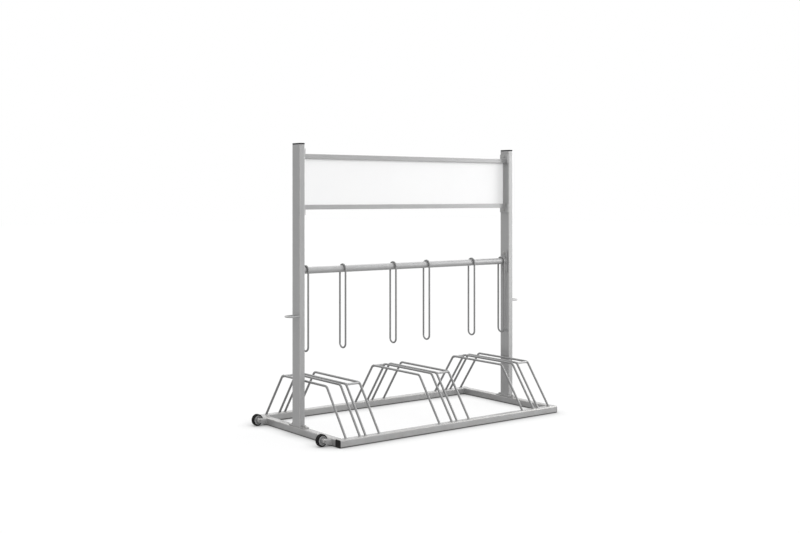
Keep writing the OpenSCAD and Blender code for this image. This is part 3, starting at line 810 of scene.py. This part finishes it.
def buildLockTube():
    place, wide, _, start, end = crossOf("locking_tube", alongX)
    radius = wide / 2
    # the coat is rubbed where a loop hangs
    stops, rub = [start], [0.0]
    for k in range(1, 7):
        x = boxOf("locking_loop_%d" % k)[2].x
        reach, core = lockTube["rubWidth"], lockTube["rubWidth"] * lockTube["rubCore"]
        stops += [x - reach, x - core, x + core, x + reach]
        rub += [0.0, lockTube["rub"], lockTube["rub"], 0.0]
    outer, inner = [circleOutline(r, lockTube["sides"]) for r in (radius, radius - lockTube["wall"])]
    rings = [ring(outer, place, x) for x in stops + [end]] + [ring(inner, place, x) for x in (end, start)]
    makePiece("lockingTube", [loft(rings, closed=True, ringRub=rub + [0.0] * 3)], upperCoat,
              ["locking_tube"])
    for node in both("tube_flange"):
        buildPlate(node, alongX, lockTube["flangeCorner"], upperCoat)
    seams = []
    out = lockTube["beadOut"]
    for i, x in enumerate((start + out, end - out)):
        path = ring(circleOutline(radius + out, lockTube["beadPoints"]), place, x)
        seams.append(bead(path, xAxis, lockTube["bead"], seed=60 + i, closed=True))
    makePiece("tubeSeams", seams, upperCoat)


bends = {"steps": 28, "beadPoints": 24}
loops = lengths(bar=4, seam=1.1, seamLift=12) | {"topRub": 0.7, "footRub": 0.35, "seamShare": 0.9}


def buildLoops():
    bar = loops["bar"]
    for k in range(1, 7):
        node = "locking_loop_%d" % k
        low, high, mid, size = boxOf(node)
        bend = size.y / 2 - bar
        top, foot = high.z - size.y / 2, low.z + size.y / 2
        flat = arcPoints(0, top, bend, 0, 180, bends["steps"])
        flat += arcPoints(0, foot, bend, 180, 360, bends["steps"])
        rub = bendRub(loops["topRub"], bends["steps"]) + bendRub(loops["footRub"], bends["steps"])
        path = [Vector((mid.x, y, z)) for y, z in flat]
        shapes = [sweep(path, xAxis, [bar] * len(path), closed=True, rub=rub)]
        # the bar's ends meet in a butt weld half way down one leg
        leg = moved(alongZ, mid.x, -bend if k % 2 else bend, 0)
        around = ring(circleOutline(bar * loops["seamShare"], bends["beadPoints"]), leg,
                      (top + foot) / 2 + loops["seamLift"])
        shapes.append(bead(around, zAxis, loops["seam"], seed=70 + k, closed=True))
        makePiece("hangingLoop%d" % k, shapes, shadedBarCoat, [node], body="hanging_loop_%d" % k)


eyes = lengths(bar=4, bead=1.7, beadUp=0.3, beadOut=0.4) | {"rub": 0.8}


def buildEyes():
    bar = eyes["bar"]
    for i, node in enumerate(both("lock_eye")):
        _, _, mid, size = boxOf(node)
        bend = size.y / 2 - bar
        tip, root, inward = sidesOf(node)
        arc = [(tip + inward * (bend + bar - x), y)
               for x, y in arcPoints(0, 0, bend, -90, 90, bends["steps"])]
        path = [Vector((x, y, mid.z)) for x, y in [(root, -bend)] + arc + [(root, bend)]]
        rub = [0.0] + bendRub(eyes["rub"], bends["steps"]) + [0.0]
        shapes = [sweep(path, zAxis, [bar] * len(path), rub=rub)]
        for j, y in enumerate((-bend, bend)):
            around = ring(circleOutline(bar + eyes["beadUp"], bends["beadPoints"]),
                          moved(alongX, 0, y, mid.z), root - inward * eyes["beadOut"])
            shapes.append(bead(around, xAxis, eyes["bead"], seed=80 + 2 * i + j, closed=True))
        makePart(node, shapes, upperCoat)


buildLockTube()
buildLoops()
buildEyes()
print("stage: locking tube, loops and eyes")


hoops = lengths(bar=5, bend=20, corner=157, bead=1.7, beadOut=0.5, beadLift=0.3, barEnd=0.4,
                crossBead=1.5, crossBeadUp=0.2, saddle=(3.2, 1.4)) | {
    "sides": 24, "bendSteps": 14, "rub": 0.45, "topRub": 0.2, "beadPoints": 32}


def hoopPath(low, high, footY):
    # from the front foot over the level top to the rear foot, and the legs' slope
    top = high.z - hoops["bar"]
    slope = math.degrees(math.atan2(top - low.z, footY - hoops["corner"]))
    start = hoops["corner"] - hoops["bend"] * math.tan(math.radians(slope / 2))
    right = arcPoints(start, top - hoops["bend"], hoops["bend"], 90, 90 - slope, hoops["bendSteps"])
    left = [(-y, z) for y, z in reversed(right)]
    return [(-footY, low.z)] + left + right + [(footY, low.z)], slope


def cutLevel(verts, z):
    # both feet are cut level, so that they stand flat on the rails
    sides = hoops["sides"]
    for first, inner in ((0, sides), (len(verts) - sides, len(verts) - 2 * sides)):
        for j in range(sides):
            a, b = verts[inner + j], verts[first + j]
            verts[first + j] = a.lerp(b, (z - a.z) / (b.z - a.z))


def buildHoops():
    footY = boxOf("rear_rail")[2].y
    bar, out, steps = hoops["bar"], hoops["beadOut"], hoops["bendSteps"]
    rub = [r + hoops["topRub"] * i / steps for i, r in enumerate(bendRub(hoops["rub"], steps))]
    rub = [0.0] + rub + rub[::-1] + [0.0]
    circle = circleOutline(1.0, hoops["beadPoints"])
    beads = []
    for k in range(1, 13):
        node = "wheel_hoop_%d" % k
        low, high, mid, _ = boxOf(node)
        flat, slope = hoopPath(low, high, footY)
        path = [Vector((mid.x, y, z)) for y, z in flat]
        shape = sweep(path, xAxis, [bar] * len(path), sides=hoops["sides"], rub=rub)
        cutLevel(shape[0], low.z)
        makePart(node, [shape], shadedBarCoat)
        # a leaning leg meets the rail in an ellipse
        wide, deep = bar + out, bar / math.sin(math.radians(slope)) + out
        for i, y in enumerate((-footY, footY)):
            around = ring([(u * wide, v * deep) for u, v in circle], moved(alongZ, mid.x, y, low.z),
                          hoops["beadLift"])
            beads.append(bead(around, zAxis, hoops["bead"], seed=100 + 2 * k + i, closed=True))
    makePiece("hoopFootWelds", beads, frameCoat)


def buildCrossBars():
    # each bar closes one slot, at the front and the rear by turns
    bar, gap, (near, reach) = hoops["bar"], hoops["barEnd"], hoops["saddle"]
    low, high, mid, _ = boxOf("hoop_cross_bars")
    bars, welds = [], []
    for group in range(3):
        for pair, y in ((1, high.y - bar), (3, low.y + bar)):
            a, b = [boxOf("wheel_hoop_%d" % (4 * group + n))[2].x for n in (pair, pair + 1)]
            path = [Vector((x, y, mid.z)) for x in (a + gap, (a + b) / 2, b - gap)]
            bars.append(sweep(path, zAxis, [bar] * len(path)))
            for j, (x, turn) in enumerate(((a, 1), (b, -1))):
                # the bead follows the saddle of the bar's end round the hoop
                around = [Vector((x + turn * (near + reach * abs(u)), y + (bar + hoops["crossBeadUp"]) * u,
                                  mid.z + (bar + hoops["crossBeadUp"]) * v))
                          for u, v in circleOutline(1.0, bends["beadPoints"])]
                seed = 140 + 10 * group + pair + j
                welds.append(bead(around, xAxis, hoops["crossBead"], seed, closed=True))
    makePiece("hoopCrossBars", bars, upperCoat, ["hoop_cross_bars"])
    makePiece("hoopCrossWelds", welds, upperCoat)


buildHoops()
buildCrossBars()
print("stage: wheel hoops")


fork = lengths(sheet=4, bendRadius=4.5, nose=9, noseEnd=0.05, root=13, edge=0.6, least=0.5, bead=1.6,
               beadHalf=12, beadIn=(0.6, 0.4)) | {
    "bendSteps": 7, "armSteps": 16, "noseRub": 1.0, "rub": 0.9}


def forkSection(height):
    # upright strip with broken edges: (across the sheet, up)
    e = min(fork["edge"], height * 0.3)
    t, h = fork["sheet"] / 2, height / 2
    return [(t, -h + e), (t, h - e), (t - e, h), (-t + e, h), (-t, h - e), (-t, -h + e), (-t + e, -h),
            (t - e, -h)]


def forkPlan(noseX, backX, armY):
    # one sheet bent twice, seen from above: x, y and the direction across the sheet
    bend = fork["bendRadius"] - fork["sheet"] / 2
    straight = backX - bend - noseX
    half = [(noseX + fork["noseEnd"], -armY, 0, -1)]
    for k in range(1, fork["armSteps"] + 1):
        t = k / fork["armSteps"]
        half.append((noseX + straight * t * t * (3 - 2 * t), -armY, 0, -1))
    for k in range(1, fork["bendSteps"]):
        a = math.radians(-90 + 90 * k / fork["bendSteps"])
        half.append((backX - bend + bend * math.cos(a), -armY + bend + bend * math.sin(a),
                     math.cos(a), math.sin(a)))
    half.append((backX, -armY + bend, 1, 0))
    return half + [(x, -y, nx, -ny) for x, y, nx, ny in reversed(half)]


def buildForks():
    seams = []
    nose, root, (inX, inY) = fork["nose"], fork["root"], fork["beadIn"]
    railZ = boxOf("left_side_rail")[2].z
    for i, end in enumerate(("front", "rear")):
        node = end + "_wheel_fork"
        low, high, mid, size = boxOf(node)
        axle = boxOf(end + "_wheel_hub")[2]
        backX = high.x - fork["sheet"] / 2
        rings, rub = [], []
        for x, y, nx, ny in forkPlan(low.x, backX, (size.y - fork["sheet"]) / 2):
            # the arm narrows from the floor frame to the round nose at the axle
            t = min(1.0, max(0.0, (x - axle.x) / (backX - axle.x)))
            top = (axle.z + nose) * (1 - t) + (railZ + root) * t
            foot = (axle.z - nose) * (1 - t) + (railZ - root) * t
            if x < axle.x:
                reach = math.sqrt(max(0.0, nose ** 2 - (x - axle.x) ** 2))
                top, foot = axle.z + reach, axle.z - reach
            centre, across = Vector((x, mid.y + y, (top + foot) / 2)), Vector((nx, ny, 0))
            section = forkSection(max(top - foot, fork["least"]))
            rings.append([centre + across * u + zAxis * v for u, v in section])
            rub.append(fork["noseRub"] if x < axle.x else fork["rub"])
        makePart(node, [loft(rings, ringRub=rub)], litForkCoat, sharp=50)
        for j, y in enumerate((low.y + inY, high.y - inY)):
            down = [Vector((high.x - inX, y, railZ + side * fork["beadHalf"])) for side in (1, -1)]
            seams.append(bead(down, xAxis, fork["bead"], seed=200 + 2 * i + j))
    makePiece("forkSeams", seams, frameCoat)


# the nut's locking collar is (radius, distance below its end) pairs
axles = lengths(radius=4, middle=0.5, flats=13, head=5.2, nut=6.4, tail=2, collarHeight=1.6,
                collar=((4.05, 1.6), (5.9, 1.6), (5.6, 0.5), (5.0, 0.0), (4.05, 0.0))) | {
    "sides": 32, "collarSides": 40}


def buildAxles():
    bolts, nuts = [], []
    flats, nut, middle, radius = axles["flats"], axles["nut"], axles["middle"], axles["radius"]
    for end in ("front", "rear"):
        axle = boxOf(end + "_wheel_hub")[2]
        low, high, _, size = boxOf(end + "_wheel_fork")
        front = moved(alongY, axle.x, low.y, axle.z)
        back = moved(alongY, axle.x, high.y, axle.z)
        shaft = [(middle, 0.0), (radius, 0.0), (radius, size.y), (middle, size.y)]
        bolts.append(hexHead(flats, axles["head"], front, up=-1.0))
        bolts.append(lathe(shaft, front, sides=axles["sides"], closed=False))
        bolts.append(threadEnd(radius, nut + axles["tail"], back, 1.0, thread["pitch"]))
        nuts.append(hexHead(flats, nut - axles["collarHeight"], back))
        collar = [(r, nut - below) for r, below in axles["collar"]]
        nuts.append(lathe(collar, back, sides=axles["collarSides"]))
    makePiece("axleBolts", bolts, zincPlate, ["wheel_axle_bolts"])
    makePiece("axleNuts", nuts, zincPlate, ["wheel_axle_nuts"])


wheels = lengths(rim=19, rimDepth=2.5, bore=4.05, boss=8.5, web=5, width=18, edge=0.5, ribWidth=2.4,
                 ribSunk=2.2, ribOverlap=0.5, bossFoot=((0.5, 1.5), (2, 0)),
                 rimFoot=((1.5, 0), (0, 1.2))) | {"hubSides": 72, "ribs": 5, "ribTaper": 0.7}


def hubShapes(mid, place, halfBoss):
    w, rim, web, boss = wheels["width"] / 2, wheels["rim"], wheels["web"] / 2, wheels["boss"]
    e, inner = wheels["edge"], rim - wheels["rimDepth"]
    half = [(wheels["bore"], -halfBoss), (boss - e, -halfBoss), (boss, -halfBoss + e)]
    half += [(boss + r, -web - up) for r, up in wheels["bossFoot"]]
    half += [(inner - r, -web - up) for r, up in wheels["rimFoot"]]
    half += [(inner, -w + e), (inner + e, -w), (rim, -w)]
    shapes = [lathe(half + [(r, -y) for r, y in reversed(half)], place, sides=wheels["hubSides"])]
    # ribs from the boss to the rim on both sides of the web
    over, top, t = wheels["ribOverlap"], w - wheels["ribSunk"], wheels["ribWidth"] / 2
    thin = t * wheels["ribTaper"]
    section = ((-t, web - over), (-thin, top), (thin, top), (t, web - over))
    for a in turnsOf(wheels["ribs"]):
        out, across = Vector((math.cos(a), 0, math.sin(a))), Vector((-math.sin(a), 0, math.cos(a)))
        for side in (-1, 1):
            shapes.append(loft([[mid + out * r + across * u + Vector((0, side * v, 0)) for u, v in section]
                                for r in (boss - over, inner + over)]))
    return shapes


# the tread's groove is (depth, distance from the middle) pairs
tyre = lengths(shoulder=3, foot=(0.5, 0.3), treadDepth=0.2,
               groove=((0.0, 3.1), (0.5, 2.7), (0.5, 2.3), (0.0, 1.9))) | {
    "arcSteps": 6, "sides": 96, "treadRub": 1.0, "sideRub": 0.1}


def tyreShape(radius, place):
    w, rim, s, (footUp, footIn) = wheels["width"] / 2, wheels["rim"], tyre["shoulder"], tyre["foot"]
    half = [(rim, -w + footIn), (rim + footUp, -w)]
    half += arcPoints(radius - s, -w + s, s, -90, 0, tyre["arcSteps"])
    half += [(radius - depth, -y) for depth, y in tyre["groove"]]
    profile = half + [(r, -y) for r, y in reversed(half)]
    rub = [tyre["treadRub"] if r > radius - tyre["treadDepth"] else tyre["sideRub"] for r, _ in profile]
    return lathe(profile, place, sides=tyre["sides"], rub=rub)


def buildWheels():
    for end in ("front", "rear"):
        hub, tread, body = end + "_wheel_hub", end + "_wheel_tyre", end + "_transport_wheel"
        _, _, mid, size = boxOf(hub)
        place = moved(alongY, *mid)
        makePart(hub, hubShapes(mid, place, size.y / 2), hubPlastic, body=body)
        makePart(tread, [tyreShape(boxOf(tread)[3].z / 2, place)], tyreRubber, body=body)


buildForks()
buildAxles()
buildWheels()
print("stage: transport wheels")


# yaw in radians; focal length, middle and size in pixels of the photograph
view = {"place": (-3.256417, -3.613754, 1.009750), "yaw": 0.578832, "focal": 1055.479,
        "middle": (245.454, 195.380), "picture": (800, 533), "sensor": 36.0, "clip": (0.05, 200.0)}


def buildCamera():
    data = bpy.data.cameras.new("photoCamera")
    camera = addObject("photoCamera", data)
    wide, high = view["picture"]
    data.sensor_fit = "HORIZONTAL"
    data.sensor_width = view["sensor"]
    data.lens = view["focal"] / wide * view["sensor"]
    data.shift_x = (wide / 2 - view["middle"][0]) / wide
    data.shift_y = (view["middle"][1] - high / 2) / wide
    data.clip_start, data.clip_end = view["clip"]
    # measured from the middle of the floor frame
    camera.location = Vector(view["place"]) + Vector((boxOf("front_rail")[2].x, 0, 0))
    camera.rotation_euler = (math.radians(90), 0.0, -view["yaw"])
    scene.camera = camera


def pickShader(tree, lit, seen):
    # seen by the camera and in reflections, lit for all other light
    path = addNode(tree, "ShaderNodeLightPath", {})
    ray = mathNode(tree, "MAXIMUM", path["Is Camera Ray"], path["Is Glossy Ray"])
    ray = mathNode(tree, "MAXIMUM", ray, path["Is Transmission Ray"])
    return addNode(tree, "ShaderNodeMixShader", {0: ray, 1: lit, 2: seen})[0]


# look and bounce are the greys that are seen and that light bounces off; the reach of the painted contact
# shadow is in metres
ground = {"size": 60.0, "look": 0.14, "glow": 0.81, "bounce": 0.36, "contactShadeReach": 0.08, "contrast": 1.1,
          "samples": 16}


def buildGround():
    half = ground["size"] / 2
    mesh = bpy.data.meshes.new("ground")
    mesh.from_pydata([(-half, -half, 0), (half, -half, 0), (half, half, 0), (-half, half, 0)], [],
                     [(0, 1, 2, 3)])
    floor = addObject("ground", mesh)
    material = bpy.data.materials.new("paleGround")
    material.use_nodes = True
    tree = material.node_tree
    tree.nodes.clear()
    # painted contact shadow: the ground's glow turns dark only where the rack all but touches the ground
    near = addNode(tree, "ShaderNodeAmbientOcclusion", {"Distance": ground["contactShadeReach"]},
                   samples=ground["samples"])["AO"]
    clear = mathNode(tree, "POWER", near, ground["contrast"])
    glow = addNode(tree, "ShaderNodeEmission", {"Strength": product(tree, clear, ground["glow"])})[0]
    look, bounce = [addNode(tree, "ShaderNodeBsdfDiffuse", {"Color": (ground[grey],) * 3 + (1,)})[0]
                    for grey in ("look", "bounce")]
    seen = addNode(tree, "ShaderNodeAddShader", {0: look, 1: glow})[0]
    addNode(tree, "ShaderNodeOutputMaterial", {"Surface": pickShader(tree, bounce, seen)})
    floor.data.materials.append(material)


# turn goes from the front towards the right and lift up from the ground, in degrees
lights = {"sky": 0.47,
          "front": {"turn": -12, "lift": 30, "strength": 1.4, "spread": 70},
          "back": {"turn": 170, "lift": 62, "strength": 2.1, "spread": 96},
          "side": {"turn": 85, "lift": 10, "strength": 2.75, "spread": 60},
          "box": {"place": (3.4, -1.7, 1.2), "aim": (0.6, 0, 0.9), "wide": 1.6, "high": 2.4,
                  "strength": 2.15}}


def addLamp(name, kind, energy, toward):
    # the lamp shines back along toward, which points from the rack to it
    data = bpy.data.lights.new(name, kind)
    data.energy = energy
    lamp = addObject(name, data)
    lamp.rotation_euler = toward.to_track_quat("Z", "Y").to_euler()
    return lamp


def buildLights():
    world = bpy.data.worlds.new("studio")
    scene.world = world
    world.use_nodes = True
    tree = world.node_tree
    tree.nodes.clear()
    soft, white = [addNode(tree, "ShaderNodeBackground", {"Color": (1, 1, 1, 1), "Strength": strength})[0]
                   for strength in (lights["sky"], 1.0)]
    addNode(tree, "ShaderNodeOutputWorld", {"Surface": pickShader(tree, soft, white)})
    for name in ("front", "back", "side"):
        turn, lift = math.radians(lights[name]["turn"]), math.radians(lights[name]["lift"])
        toward = Vector((math.cos(lift) * math.sin(turn), -math.cos(lift) * math.cos(turn), math.sin(lift)))
        sun = addLamp(name + "Lamp", "SUN", lights[name]["strength"], toward)
        sun.data.angle = math.radians(lights[name]["spread"])
    # soft box beside the camera
    box = lights["box"]
    power = box["strength"] * math.pi * box["wide"] * box["high"]
    soft = addLamp("boxLamp", "AREA", power, Vector(box["place"]) - Vector(box["aim"]))
    soft.data.shape, soft.data.size, soft.data.size_y = "RECTANGLE", box["wide"], box["high"]
    soft.location = box["place"]


buildCamera()
buildGround()
buildLights()
print("stage: camera, ground and light")
